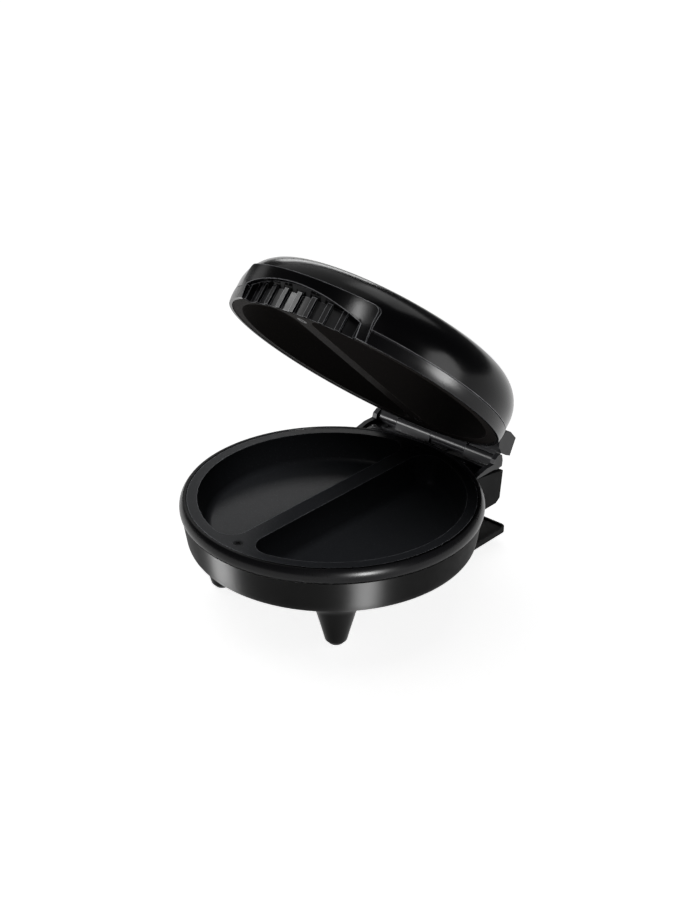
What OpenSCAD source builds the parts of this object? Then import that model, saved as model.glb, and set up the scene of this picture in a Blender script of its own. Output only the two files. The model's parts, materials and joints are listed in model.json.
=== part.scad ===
// Electric omelette maker with twin half-moon wells and a hinged dome lid.
// The origin is on the table, under the middle of the part as it stands open.
// X runs to the right, Y to the hinge at the back, Z up.

/* [Body] */
// Widest diameter, across the trim ring
body_d = 220; // [200:1:240]
// Height of the lower housing, underside to rim
housing_h = 36; // [35:0.1:38]
// How far the housing's side leans in towards its foot, in degrees
housing_lean = 9; // [8:0.5:10]
// Radius of the curve between the side and the underside
housing_round = 10; // [8:0.5:12]
// Slope of the underside's outer band, in degrees
dish_angle = 24; // [22:0.5:26]
// Width of that band, from the flat middle to the housing's rim circle
dish_w = 29.3; // [28:0.1:31]
// How far the housing rim stands in from the widest diameter
housing_inset = 1.4; // [0.8:0.1:2.5]
// Wall of the moulded housings
wall = 2.5; // [2:0.1:3]
// Height of the housing underside above the table
leg_h = 27; // [25:0.1:31]

/* [Trim ring] */
// Height of the dark groove under the trim ring
groove_h = 1.6; // [1:0.1:2.5]
// Depth of that groove, in from the housing rim
groove_depth = 1.7; // [1:0.1:2]
// Height of the trim ring
ring_h = 9.4; // [8.5:0.1:11]
// Radius of the ring's bulging outer face
ring_bulge = 9; // [8:0.5:12]
// How far the middle of the bulge lies above the ring's lower edge
bulge_height = 2.7; // [2:0.1:4]
// Width of the ring's top face between the bulge and the cooking plate
ring_land = 2.2; // [1.5:0.1:3]
// Width of the ledge that carries the plate's edge
ledge_w = 3.2; // [2.5:0.1:4]
// Thickness of the rings' plain walls
ring_wall = 2; // [1.6:0.1:2.4]
// Depth of the skirt inside the housing
skirt_h = 6.6; // [5:0.1:9]

/* [Lid] */
// Gap between the closed lid and the trim ring
mate_gap = 0.4; // [0.3:0.1:1]
// Height of the lid's lip band
lip_h = 8.6; // [7.5:0.1:10]
// Gap between the lip band and the dome
seam_gap = 0.8; // [0.5:0.1:1.2]
// Height of the dome above the lip band's seam
dome_h = 41.7; // [40:0.1:46]
// Height of the dome's upright side below its shoulder
dome_side_h = 6.2; // [4:0.1:8]
// Radius of the dome's shoulder
shoulder_r = 28.5; // [26:0.5:30]
// How far the dome's side stands in from the widest diameter
dome_inset = 2.4; // [2:0.1:4]

/* [Finger grip] */
// Half of the angle that the finger recess spans at the front of the lid
grip_half_angle = 28.5; // [20:0.5:30]
// How far the visor stands proud of the dome's side
visor_proud = 1.9; // [1.5:0.1:2.1]
// Width of the visor's upright ends
visor_leg_w = 5.8; // [4:0.1:8]
// Height of the visor above the seam
visor_h = 15.7; // [14:0.1:18]
// Radius of the visor's upper corners
visor_corner = 4; // [2:0.5:6]
// Height of the arch above the seam, at its crown
arch_crown = 9.2; // [8:0.1:11]
// Height of the arch above the seam, at its ends
arch_spring = 1.5; // [0.5:0.1:3]
// Depth of the finger recess, in from the widest diameter
grip_depth = 9.7; // [9:0.1:10.5]
// Height of the ribbed wall above the lid's mouth
rib_wall_h = 13.6; // [12:0.1:15]
// Thickness of the ribbed wall
rib_wall = 1.3; // [1.2:0.1:1.5]
// Angle from one rib to the next
rib_pitch = 7; // [6:0.5:9]
// Width of a rib
rib_w = 3.6; // [2.5:0.1:4.5]
// How far a rib stands out of its wall
rib_proud = 2.2; // [1.5:0.1:3]

/* [Cooking plates] */
// Thickness of the plate's flat edge
plate_t = 3; // [2.5:0.1:3.5]
// Wall of the cast wells
well_wall = 2.6; // [2:0.1:3]
// Depth of a well
well_depth = 22; // [18:0.5:23]
// Width of the plate's flat edge outside the wells
well_margin = 7.5; // [7:0.5:12]
// Width of the ridge between the two wells
ridge_w = 14; // [14:0.5:18]
// Radius of the wells' corners at the ridge
well_corner = 14; // [10:0.5:18]
// Slope of the wells' sides
well_draft = 14; // [8:1:18]
// Radius where the sides meet the bottom
well_fillet = 7; // [5:0.5:9]
// Distance of the lower plate's screws from its edge
lower_screw_margin = 8.5; // [8:0.5:11.5]
// Distance of the upper plate's screws from its edge
upper_screw_margin = 17.5; // [16.5:0.5:20.5]

/* [Heating] */
// Distance of the element's loop inside the wells' outer edge
element_margin = 39; // [35:0.5:46]
// Half of the angle that the loop leaves open
element_open_angle = 25; // [23:1:28]
// Length of the straight ends of the tube
element_end_l = 20; // [18:0.5:22]
// Length of the terminal pins beyond the tube
element_pin_l = 10; // [8:0.5:11]
// Diameter of the element's tube
element_d = 6.6; // [6:0.1:7]
// Distance of the reflector's edge inside the wells' outer edge
reflector_margin = 22; // [21.5:0.5:27]
// Height of the reflector's turned edge
reflector_edge_h = 2.4; // [2:0.1:3]
// Sheet thickness of the heat reflector
reflector_t = 0.8; // [0.5:0.1:1]
// Distance of the reflector's outer screws from the middle
reflector_screw_y = 40; // [30:0.5:45]

/* [Hinge] */
// Distance of the hinge axis behind the trim ring
hinge_behind = 9; // [8.5:0.1:10]
// Diameter of the hinge pin
pin_d = 3; // [2.5:0.1:3.5]
// Diameter of the hinge barrel
barrel_d = 6.6; // [6.4:0.1:7]
// Half of the width across the hinge, its block and the rear box
hinge_half_w = 60; // [56:0.5:62]
// Thickness of the ears that hold the pin's ends
ear_t = 4; // [3:0.1:5]
// Where the first lid knuckle ends, seen from the middle
knuckle_a = -37.5; // [-42:0.5:-34]
// Where the first base knuckle ends
knuckle_b = -4; // [-7:0.5:-1]
// Where the second lid knuckle ends
knuckle_c = 29.5; // [26:0.5:34]
// How far the lid stands open as it is stored
rest_open = 43.5; // [30:0.5:60]
// How far the lid opens in all
open_max = 100; // [90:1:104]
// Height of the hinge block's underside above the axis, with the lid closed
block_clear = 5.8; // [5.6:0.1:6.2]
// Height of the hinge block
block_h = 16.3; // [15.5:0.1:17]
// How far the hinge block reaches behind the axis
block_back = 9.8; // [9:0.1:10]
// How far the block's crest lies behind the axis
block_crest = 5.9; // [5:0.1:7]
// Width of the block's solid ends
block_end_w = 9; // [7:0.5:11]
// Sideways distance of the block's screws from the middle
block_screw_x = 35; // [28:0.5:44]
// Height of the block's screws above its underside
block_screw_rise = 11; // [10.5:0.1:11.5]
// Radius of the holes for the leads through dome and block
wire_hole_r = 3.2; // [3:0.1:3.4]
// Height of that hole above the block's underside
wire_hole_rise = 9.7; // [9.4:0.1:10.4]
// Thickness of the beam that joins the bracket's cheeks
beam_t = 3.2; // [3:0.1:3.4]
// Radius of the ears round the pin's ends
ear_r = 5.2; // [5:0.1:5.4]

/* [Fasteners and leads] */
// Diameter of the screws of plates, feet and stand
screw_d = 3.8; // [3.6:0.1:4]
// Diameter of the screws of reflectors, bracket and hinge block
small_screw_d = 2.8; // [2.6:0.1:3]
// Length of the plate screws
plate_screw_l = 15; // [12:0.5:15.5]
// Width of the plate screws' flat heads
sunk_head_d = 7.2; // [6.8:0.1:7.6]
// Length of the reflector screws
reflector_screw_l = 9; // [7:0.5:9.5]
// Length of the bracket screws
bracket_screw_l = 9; // [8:0.5:10]
// Length of the hinge block's screws
block_screw_l = 14; // [11:0.5:14.5]
// Height of the screw columns on the housing's floor
boss_h = 12; // [11:0.1:12.5]
// Diameter of a lead with its sleeve
lead_d = 2.6; // [2.2:0.1:2.8]

/* [Rear box] */
// Depth of the rear box behind the trim ring
box_depth = 14.4; // [13.8:0.1:14.5]
// Height of the box's front edge above the housing rim
box_rise = 6; // [5:0.1:6.3]
// Fall of the box's top from front to back
box_fall = 4.5; // [3:0.1:5]
// Height of the box at its rear face
box_rear_h = 25.5; // [24:0.1:27]
// Lean of the rear face, top to bottom
box_lean = 2.4; // [1:0.1:3]
// Diameter of the cord's hole through the gland
cord_hole_d = 7; // [6:0.1:8]

/* [Feet] */
// Distance of the front feet inside the widest diameter
foot_inset = 29; // [28:0.5:31]
// Angle of the front feet, from straight ahead
foot_angle = 44; // [38:1:50]
// Diameter across a foot's tip
foot_tip_d = 16.4; // [16:0.1:17.4]
// Diameter of a foot below its flare
foot_neck_d = 26.6; // [26:0.1:27.6]
// Radius of the flare under the housing
foot_flare = 5; // [4.5:0.1:5.5]
// Diameter of the flange that hugs the housing round a foot
foot_flange_d = 34.4; // [34:0.1:36]
// Thickness of that flange
foot_flange_t = 1.6; // [1.2:0.1:2.2]
// Diameter of the bore for a foot's screw and plug
foot_bore_d = 8.8; // [8.6:0.1:9]
// Diameter of a rubber pad
pad_d = 10.8; // [10:0.1:11]
// Height of the plug on a pad
pad_plug_h = 5; // [4:0.5:5.5]
// Height that a pad shows under its foot
pad_h = 1.2; // [0.8:0.1:2]

/* [Rear stand] */
// Half of the stand's width
stand_half_w = 60; // [54:0.5:64]
// How far the stand reaches behind the trim ring
stand_reach = 23.3; // [22:0.1:26]
// Depth of the stand, front to back
stand_depth = 63.8; // [60:0.1:66]
// Radius of the stand's corners
stand_corner = 5; // [4:0.5:7]
// Height of the stand's top above the table
stand_top = 11.5; // [10:0.1:13]
// Thickness of the stand's plate
stand_t = 3; // [2.5:0.1:4]
// Height of the rim round the stand's edge
stand_rim_h = 1.5; // [1:0.1:2]
// Width of that rim
stand_rim_w = 1.6; // [1.2:0.1:2]
// Diameter of the bosses under the stand that hold the pads
stand_boss_d = 17; // [16:0.5:18]
// Distance of the rear pads from the stand's rear edge
rear_pad_inset = 22.8; // [20:0.1:25]
// Diameter of the two posts that the cord is wound round
post_d = 18; // [16:0.5:20]
// Sideways distance of the posts from the middle
post_x = 30; // [28:0.5:34]
// Distance of the posts inside the widest diameter
post_inset = 28; // [27:0.5:30]

/* [Hidden] */

// Clearance between neighbouring pieces that don't fit each other
gap = 0.3;
// Clearance where one piece seats on another
seat = 0.2;
// Clearance where two pieces lie face to face
touch = 0.01;
// Radial clearance of pins and screws in their holes
running = 0.05;
// Overshoot of a cut past the face it opens
cut = 1;

// Heights, from the table up, with the lid closed
rim_z = leg_h + housing_h;
ring_z = rim_z + groove_h;
ring_top_z = ring_z + ring_h;
mouth_z = ring_top_z + mate_gap;
seam_z = mouth_z + lip_h;
dome_z = seam_z + seam_gap;
dome_top_z = dome_z + dome_h;
lower_face_z = ring_top_z - 0.5;
upper_face_z = mouth_z + 0.5;

// Radii
body_r = body_d / 2;
housing_r = body_r - housing_inset;
dome_r = body_r - dome_inset;
ring_seat_r = housing_r - groove_depth;
skirt_r = housing_r - wall / cos(housing_lean) - skirt_h * tan(housing_lean) - gap;
bulge_z = ring_z + bulge_height;
ring_rise = ring_top_z - bulge_z;
ring_top_r = body_r - ring_bulge + sqrt(pow(ring_bulge, 2) - pow(ring_rise, 2));
plate_hole_r = ring_top_r - ring_land;
plate_r = plate_hole_r - gap;
ledge_r = plate_hole_r - ledge_w;
visor_r = dome_r + visor_proud;
visor_half_w = visor_r * sin(grip_half_angle) + visor_leg_w;
well_r = plate_r - well_margin;
lower_screw_y = plate_r - lower_screw_margin;
upper_screw_y = plate_r - upper_screw_margin;
element_loop_r = well_r - element_margin;
reflector_r = well_r - reflector_margin;

// Lid bands
shoulder_z = dome_z + dome_side_h;
shoulder_rise = dome_top_z - shoulder_z;
shoulder_x = dome_r - shoulder_r;
crown_r = (pow(shoulder_x, 2) + pow(shoulder_rise, 2) - pow(shoulder_r, 2))
    / (2 * (shoulder_rise - shoulder_r));
crown_angle = asin(shoulder_x / (crown_r - shoulder_r));

// The lip band curves in a little towards the mouth
lip_r = dome_r + 0.2;
lip_curve = 30;
lip_curve_angle = asin((seam_z - 2 - mouth_z) / lip_curve);
lip_low_r = lip_r - lip_curve * (1 - cos(lip_curve_angle));

// Finger grip
grip_face_r = body_r - grip_depth;
grip_back_r = grip_face_r - rib_wall;
grip_top_z = mouth_z + rib_wall_h;
plate_front_r = grip_back_r - gap;

// Hinge, with the axis in the plane where lid and base meet
hinge_y = body_r + hinge_behind;
hinge_z = (ring_top_z + mouth_z) / 2;
pin_r = pin_d / 2;
barrel_r = barrel_d / 2;
ear_in = hinge_half_w - ear_t;

// Wells and what hangs under them, as depths below a plate's face
element_r = element_d / 2;
element_depth = well_depth + well_wall + gap + element_r;
reflector_depth = element_depth + element_r + gap;
element_pin_x = element_loop_r * sin(element_open_angle);
element_pin_y = element_loop_r * cos(element_open_angle) + element_end_l + element_pin_l;

// Screws, their heads and the bosses round them
screw_r = screw_d / 2;
small_screw_r = small_screw_d / 2;
sunk_head_r = sunk_head_d / 2;
boss_r = screw_r * 2.1;
boss_wide_r = screw_r * 2.35;
lead_r = lead_d / 2;

// Rear box, as points of its side view
box_front_y = body_r - 16;
box_rear_y = body_r + box_depth;
box_top_z = rim_z + box_rise;
box_rear_top_z = box_top_z - box_fall;
box_low_z = box_rear_top_z - box_rear_h;
box_chamfer = box_depth * 0.21;
box_overlap = box_depth * 1.1;
box_rear_slope = box_lean / (box_rear_h - box_chamfer);
box_lean_angle = atan(box_rear_slope);
box_slope = box_fall / (box_rear_y - box_front_y);

// Feet and stand
foot_x = (body_r - foot_inset) * sin(foot_angle);
foot_y = -(body_r - foot_inset) * cos(foot_angle);
foot_bore_r = foot_bore_d / 2;
foot_seat_z = leg_h * 0.6;
boss_top_z = leg_h + boss_h;
screw_tip_z = leg_h + boss_h * 0.67;
stand_rear_y = body_r + stand_reach;
stand_front_y = stand_rear_y - stand_depth;
stand_boss_r = stand_boss_d / 2;
post_y = body_r - post_inset;
post_seat_z = stand_top + (leg_h - stand_top) * 0.48;
rear_pad_y = stand_rear_y - rear_pad_inset;

// The lid's hinge block, as points of its side view with the lid closed
block_low_z = hinge_z + block_clear;
block_top_z = block_low_z + block_h;
block_rear_y = hinge_y + block_back;
block_crest_y = hinge_y + block_crest;
block_screw_z = block_low_z + block_screw_rise;
wire_hole_z = block_low_z + wire_hole_rise;

// The part's middle, front to back, as it stands open
function opened_y(p) = hinge_y + (p[0] - hinge_y) * cos(rest_open)
    + (p[1] - hinge_z) * sin(rest_open);
rest_rear_y = max(opened_y([block_crest_y, block_top_z]), stand_rear_y);
axis_y = (body_r - rest_rear_y) / 2;

// Points along an arc, for outlines
function arc(c, r, a0, a1, n) =
    [for (i = [0:n]) let (a = a0 + (a1 - a0) * i / n) [c[0] + r * cos(a), c[1] + r * sin(a)]];
function reversed(list) = [for (i = [len(list) - 1:-1:0]) list[i]];

// Places what belongs to the base
module on_base() {
    translate([0, axis_y, 0])
        children();
}

// Places what is drawn with the lid closed, and turns it open about the hinge
module on_lid() {
    translate([0, axis_y + hinge_y, hinge_z])
        rotate([-rest_open, 0, 0])
            translate([0, -hinge_y, -hinge_z])
                children();
}

// Extrudes a side view, drawn as [y, z], across the part from x0 to x1
module across(x0, x1) {
    translate([x0, 0, 0])
        rotate([90, 0, 90])
            linear_extrude(x1 - x0)
                children();
}

// A pan-head screw with its head's underside at the origin, pointing up
module screw(r, length, head_r, head_h) {
    cylinder(r = r, h = length, $fn = 32);
    translate([0, 0, -head_h])
        cylinder(r = head_r, h = head_h + touch, $fn = 32);
}

// A countersunk screw with its flat head at the origin, pointing down
module sunk_screw(r, length, head_r) {
    difference() {
        union() {
            translate([0, 0, -length])
                cylinder(r = r, h = length, $fn = 32);
            translate([0, 0, r - head_r])
                cylinder(r1 = r, r2 = head_r, h = head_r - r, $fn = 32);
        }
        for (turn = [0, 90])
            rotate([0, 0, turn])
                translate([0, 0, -head_r * 0.11])
                    cube([head_r * 1.2, head_r / 4, head_r * 0.44], center = true);
    }
}

// A round wire through a list of points, with a ball at each bend
module wire(points, r) {
    for (i = [0:len(points) - 2]) {
        d = points[i + 1] - points[i];
        length = norm(d);
        translate(points[i])
            rotate([0, acos(d[2] / length), atan2(d[1], d[0])])
                cylinder(r = r, h = length, $fn = 32);
    }
    for (i = [1:len(points) - 2])
        translate(points[i])
            sphere(r = r * 1.1, $fn = 32);
}

// Half of the housing's cross-section, drawn in by inset on every side: a flat middle,
// a rising band, a round and a leaning side
function housing_profile(inset) =
    let (
        dish_r = housing_r - dish_w,
        side_k = housing_r * cos(housing_lean) - rim_z * sin(housing_lean) - housing_round,
        dish_k = housing_round - dish_r * sin(dish_angle) + leg_h * cos(dish_angle),
        spread = cos(housing_lean + dish_angle),
        centre = [
            (side_k * cos(dish_angle) + dish_k * sin(housing_lean)) / spread,
            (dish_k * cos(housing_lean) + side_k * sin(dish_angle)) / spread
        ]
    )
    concat(
        [[0, leg_h + inset], [dish_r - inset * tan(dish_angle / 2), leg_h + inset]],
        arc(centre, housing_round - inset, dish_angle - 90, -housing_lean, 10),
        [[housing_r - inset / cos(housing_lean), rim_z]]
    );

// How far behind the middle the rear box's leaning face lies at a height
function rear_face_y(z, inset) = box_rear_y - inset - box_rear_slope * (box_rear_top_z - z);

// The side view of the rear box, drawn in by inset
module box_side(inset) {
    low = box_low_z + inset;
    bend = low + box_chamfer;
    polygon([
        [box_front_y - box_overlap, low],
        [rear_face_y(bend, inset) - box_chamfer * 1.5 + inset * 0.5, low],
        [rear_face_y(bend, inset), bend],
        [rear_face_y(box_rear_top_z - inset, inset), box_rear_top_z - inset],
        [box_front_y, box_top_z - inset],
        [box_front_y - box_overlap, box_top_z - inset]
    ]);
}

// Bowl of the base with its rear box, screw bosses and floor vents
module lower_housing() {
    top_wall = box_rise + wall;
    color("#1c1c1e") on_base() difference() {
        union() {
            difference() {
                union() {
                    rotate_extrude($fn = 180)
                        polygon(concat(housing_profile(0), [[0, rim_z]]));
                    across(-hinge_half_w, hinge_half_w)
                        box_side(0);
                }
                rotate_extrude($fn = 180)
                    polygon(concat(housing_profile(wall), [[housing_r - wall / cos(housing_lean), rim_z + cut],
                        [0, rim_z + cut]]));
                intersection() {
                    across(wall - hinge_half_w, hinge_half_w - wall)
                        box_side(wall);
                    translate([-hinge_half_w, 0, 0])
                        cube([2 * hinge_half_w, 2 * body_r, box_top_z - top_wall]);
                }
                translate([0, 0, rim_z])
                    cylinder(r = body_r + gap, h = ring_h + groove_h, $fn = 180);
            }
            for (side = [-1, 1]) {
                // Columns that the cooking plate is screwed to
                intersection() {
                    translate([0, side * lower_screw_y, leg_h])
                        cylinder(r = boss_wide_r, h = lower_face_z - plate_t - seat - leg_h,
                            $fn = 48);
                    union() {
                        rotate_extrude($fn = 180)
                            polygon(concat(housing_profile(wall / 2), [[0, rim_z]]));
                        translate([0, 0, leg_h + housing_h / 2])
                            cylinder(r = ledge_r - gap, h = ring_top_z, $fn = 180);
                    }
                }
            }
            // Bosses for the screws of the feet and the stand
            intersection() {
                for (side = [-1, 1])
                    for (place = [[side * foot_x, foot_y], [side * post_x, post_y]])
                        translate([place[0], place[1], leg_h])
                            cylinder(r = boss_wide_r, h = boss_h, $fn = 48);
                rotate_extrude($fn = 180)
                    polygon(concat(housing_profile(wall / 2), [[0, rim_z]]));
            }
        }
        for (side = [-1, 1]) {
            translate([0, side * lower_screw_y, lower_face_z - plate_screw_l - cut])
                cylinder(r = screw_r + running, h = plate_screw_l + cut, $fn = 32);
            translate([side * foot_x, foot_y, leg_h - cut])
                cylinder(r = screw_r + running, h = screw_tip_z + cut + 1 - leg_h, $fn = 32);
            translate([side * post_x, post_y, leg_h - cut])
                cylinder(r = screw_r + running, h = screw_tip_z + cut + 1 - leg_h, $fn = 32);
        }
        for (x = bracket_screw_xs)
            translate([x, bracket_screw_y, bracket_seat_z - bracket_screw_l - cut])
                cylinder(r = small_screw_r + running, h = bracket_screw_l + cut, $fn = 32);
        at_gland()
            translate([0, 0, -4 * wall])
                cylinder(r = gland_r + running, h = 6 * wall, $fn = 48);
        translate([0, bracket_screw_y, box_top_z - top_wall - cut])
            cylinder(r = lead_hole_r, h = top_wall + 2 * cut, $fn = 32);
        for (row = [-1, 1])
            for (i = [-2:2])
                translate([i * 9 - 1.4, row * 30 - 14, leg_h - cut])
                    cube([2.8, 28, wall + 2 * cut]);
    }
}

// Trim ring between housing and lid, with the ledge that holds the plate's edge
module trim_ring() {
    foot_z = rim_z + touch;
    skirt_z = rim_z - skirt_h;
    ledge_z = lower_face_z - plate_t - seat;
    low_angle = asin(bulge_height / ring_bulge);
    top_angle = asin(ring_rise / ring_bulge);
    color("#2b2b2d") on_base() rotate_extrude($fn = 180)
        polygon(concat(
            [
                [plate_hole_r, ring_top_z],
                [plate_hole_r, ledge_z],
                [ledge_r, ledge_z],
                [ledge_r, ledge_z - ring_wall],
                [skirt_r - ring_wall, ledge_z - ring_wall - 1],
                [skirt_r - ring_wall, skirt_z],
                [skirt_r, skirt_z],
                [skirt_r, foot_z],
                [ring_seat_r, foot_z],
                [ring_seat_r, ring_z]
            ],
            arc([body_r - ring_bulge, bulge_z], ring_bulge, -low_angle, top_angle, 12)
        ));
}

// One half-moon outline: an outer arc, a straight side along the ridge, round corners
function moon(shrink) =
    let (
        r = well_r - shrink,
        x = ridge_w / 2 + shrink,
        c = max(well_corner - shrink * 0.5, 3),
        cx = x + c,
        cy = sqrt(pow(r - c, 2) - pow(cx, 2)),
        a = atan2(cy, cx)
    )
    concat(
        arc([0, 0], r, -a, a, 24),
        arc([cx, cy], c, a, 180, 7),
        arc([cx, -cy], c, 180, 360 - a, 7)
    );

// How far a well's side has drawn in at a depth, and the depths that shape it
function side_draw(depth) = depth * tan(well_draft);
function fillet_steps(depth, fillet) =
    [for (i = [0:3]) let (a = i * 30)
        [depth - fillet + fillet * sin(a),
            side_draw(depth - fillet) + fillet * (1 - cos(a)) * 0.9]];

// The space of one well, or with grow its outside, from the height top down
module moon_bowl(grow, top) {
    hull() {
        translate([0, 0, top])
            linear_extrude(0.01)
                polygon(moon(side_draw(-top) - grow));
        for (s = fillet_steps(well_depth, well_fillet))
            translate([0, 0, -s[0] - grow])
                linear_extrude(0.01)
                    polygon(moon(s[1] - grow));
    }
}

// A cast plate with its face at z = 0 and its wells below, for both halves.
// Its edge is cut back to the radius edge where the finger grip stands.
module cooking_plate(edge, screw_y) {
    difference() {
        union() {
            translate([0, 0, -plate_t])
                cylinder(r = plate_r, h = plate_t, $fn = 180);
            for (side = [0, 1])
                mirror([side, 0, 0])
                    moon_bowl(well_wall, -plate_t / 2);
            for (y = [-reflector_screw_y, 0, reflector_screw_y])
                translate([0, y, -reflector_depth])
                    cylinder(r = boss_r, h = reflector_depth - plate_t / 2, $fn = 48);
        }
        if (edge < plate_r)
            translate([0, 0, -2 * well_depth])
                linear_extrude(3 * well_depth)
                    difference() {
                        grip_sector(grip_half_angle, gap);
                        circle(r = edge, $fn = 180);
                    }
        for (side = [0, 1])
            mirror([side, 0, 0])
                moon_bowl(0, 1);
        for (side = [-1, 1])
            translate([0, side * screw_y, 0]) {
                translate([0, 0, -plate_t - cut])
                    cylinder(r = screw_r + 0.3, h = plate_t + 2 * cut, $fn = 32);
                translate([0, 0, screw_r - sunk_head_r - running])
                    cylinder(r1 = screw_r + running, r2 = sunk_head_r + running + cut,
                        h = sunk_head_r - screw_r + cut, $fn = 32);
            }
        for (y = [-reflector_screw_y, 0, reflector_screw_y])
            translate([0, y, -reflector_depth - cut])
                cylinder(r = small_screw_r + running, h = reflector_screw_l + 2 * cut, $fn = 32);
    }
}

module lower_cooking_plate() {
    color("#33353a") on_base()
        translate([0, 0, lower_face_z])
            cooking_plate(plate_r, lower_screw_y);
}

module lower_plate_screws() {
    color("#8d8f92") on_base()
        for (side = [-1, 1])
            translate([0, side * lower_screw_y, lower_face_z])
                sunk_screw(screw_r, plate_screw_l, sunk_head_r);
}

// Tubular element: an open loop whose two ends turn back to the terminals
module heating_element() {
    end_y = element_loop_r * cos(element_open_angle);
    rotate([0, 0, 90 + element_open_angle])
        rotate_extrude(angle = 360 - 2 * element_open_angle, $fn = 96)
            translate([element_loop_r, 0])
                circle(r = element_r, $fn = 24);
    for (side = [-1, 1])
        translate([side * element_pin_x, end_y, 0]) {
            sphere(r = element_r * 1.03, $fn = 24);
            rotate([-90, 0, 0])
                cylinder(r = element_r * 0.97, h = element_end_l, $fn = 24);
            rotate([-90, 0, 0])
                cylinder(r = lead_r * 0.92, h = element_end_l + element_pin_l, $fn = 24);
        }
}

// Stamped dish that turns the element's heat back to the plate, its face at z = 0
module reflector() {
    difference() {
        union() {
            translate([0, 0, -reflector_t])
                cylinder(r = reflector_r, h = reflector_t, $fn = 96);
            translate([0, 0, -reflector_edge_h])
                difference() {
                    cylinder(r = reflector_r, h = reflector_edge_h - reflector_t / 2, $fn = 96);
                    translate([0, 0, -cut])
                        cylinder(r = reflector_r - reflector_t, h = reflector_edge_h + cut, $fn = 96);
                }
        }
        for (y = [-reflector_screw_y, 0, reflector_screw_y])
            translate([0, y, -reflector_t - cut])
                cylinder(r = small_screw_r + 0.3, h = reflector_t + 2 * cut, $fn = 32);
    }
}

module reflector_screws() {
    for (y = [-reflector_screw_y, 0, reflector_screw_y])
        translate([0, y, -reflector_depth - reflector_t - seat * 2])
            screw(small_screw_r, reflector_screw_l, small_screw_r * 2.1, small_screw_r * 1.4);
}

module lower_heating_element() {
    color("#5d5f63") on_base()
        translate([0, 0, lower_face_z - element_depth])
            heating_element();
}

module lower_reflector() {
    color("#b9bcc0") on_base()
        translate([0, 0, lower_face_z - reflector_depth - seat])
            reflector();
}

module lower_reflector_screws() {
    color("#8d8f92") on_base()
        translate([0, 0, lower_face_z])
            reflector_screws();
}

// Height of the undersides of the lower wells
well_under_z = lower_face_z - well_depth - well_wall;

// Disc thermostat against the underside of the right well
sensor_x = 38;

module thermostat() {
    body_h = 5.4;
    color("#26221f") on_base()
        translate([sensor_x, 0, well_under_z - gap - body_h]) {
            cylinder(r = 7.5, h = body_h - 1, $fn = 48);
            cylinder(r = 8.2, h = 2, $fn = 48);
            translate([0, 0, body_h - 1.01])
                cylinder(r = 6.6, h = 1.01, $fn = 48);
            for (side = [-1, 1])
                translate([-2, side * 9.5 - 3, 0.6])
                    cube([4, 6, 0.8]);
        }
}

// One-shot thermal fuse in its sleeve, under the right well
fuse_r = 2.6;

module thermal_fuse() {
    color("#c9b99a") on_base()
        translate([sensor_x, 21, well_under_z - gap - fuse_r])
            rotate([0, 90, 0]) {
                cylinder(r = fuse_r, h = 16, center = true, $fn = 32);
                cylinder(r = 0.6, h = 24, center = true, $fn = 16);
            }
}

// Two-pole terminal strip on the floor of the rear box, its holes in line with the element's pins
terminal_base_z = box_low_z + wall + seat;
terminal_hole_z = lower_face_z - element_depth;
terminal_y = body_r - 1;
terminal_half_w = element_pin_x * 1.22;
terminal_half_d = 7;
terminal_h = 11;

module terminal_block() {
    hole_r = lead_d * 0.77;
    color("#d8d4c8") on_base() difference() {
        translate([-terminal_half_w, terminal_y - terminal_half_d, terminal_base_z])
            cube([2 * terminal_half_w, 2 * terminal_half_d, terminal_h]);
        for (side = [-1, 1]) {
            translate([side * element_pin_x, terminal_y - terminal_half_d - cut, terminal_hole_z])
                rotate([-90, 0, 0])
                    cylinder(r = hole_r, h = 2 * (terminal_half_d + cut), $fn = 32);
            translate([side * element_pin_x, terminal_y, terminal_base_z + terminal_h * 0.73])
                cylinder(r = hole_r * 0.8, h = terminal_h, $fn = 32);
        }
    }
}

// Leads from the element's pins straight into the terminal strip
module lower_wiring() {
    color("#ece7da") on_base()
        for (side = [-1, 1])
            translate([side * element_pin_x, element_pin_y + seat, terminal_hole_z])
                rotate([-90, 0, 0])
                    cylinder(r = lead_r, h = terminal_y - element_pin_y, $fn = 32);
}

// Half of the gland's outer diameter through the box wall
gland_r = cord_hole_d / 2 + 2.3;

// Height of the gland on the rear face
gland_z = (box_rear_top_z + box_low_z) / 2 + 0.5;

// Puts +Z along the outward normal of the box's rear face, at the gland
module at_gland() {
    translate([0, rear_face_y(gland_z, 0), gland_z])
        rotate([-90 - box_lean_angle, 0, 0])
            children();
}

// Grommet that the power cord comes in through
module cord_gland() {
    color("#161617") on_base() at_gland()
        difference() {
            union() {
                translate([0, 0, seat])
                    cylinder(r1 = gland_r + 2.4, r2 = gland_r + 1, h = 2.2, $fn = 48);
                translate([0, 0, -wall - 3])
                    cylinder(r = gland_r, h = wall + 3 + seat + 1, $fn = 48);
                translate([0, 0, -wall - seat - 2.4])
                    cylinder(r = gland_r + 1.6, h = 2.4, $fn = 48);
            }
            translate([0, 0, -wall - 3 - cut])
                cylinder(r = cord_hole_d / 2, h = wall + 10, $fn = 48);
        }
}

// Hinge bracket: cheeks with ears, a cross beam on the rear box, and two knuckles
function box_top_at(y) = box_top_z - box_slope * (y - box_front_y);
lead_hole_r = 2.2;
beam_front_y = body_r + gap * 2;
beam_rear_y = hinge_y - 1;
beam_top_z = box_top_at(beam_front_y) + seat + beam_t;
bracket_head_r = small_screw_r * 1.8;
bracket_head_h = small_screw_r;
bracket_seat_z = beam_top_z - beam_t / 3;
bracket_screw_xs = [(knuckle_a - ear_in) / 2, (knuckle_b + knuckle_c) / 2];
bracket_screw_y = beam_front_y + bracket_head_r + gap;

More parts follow.
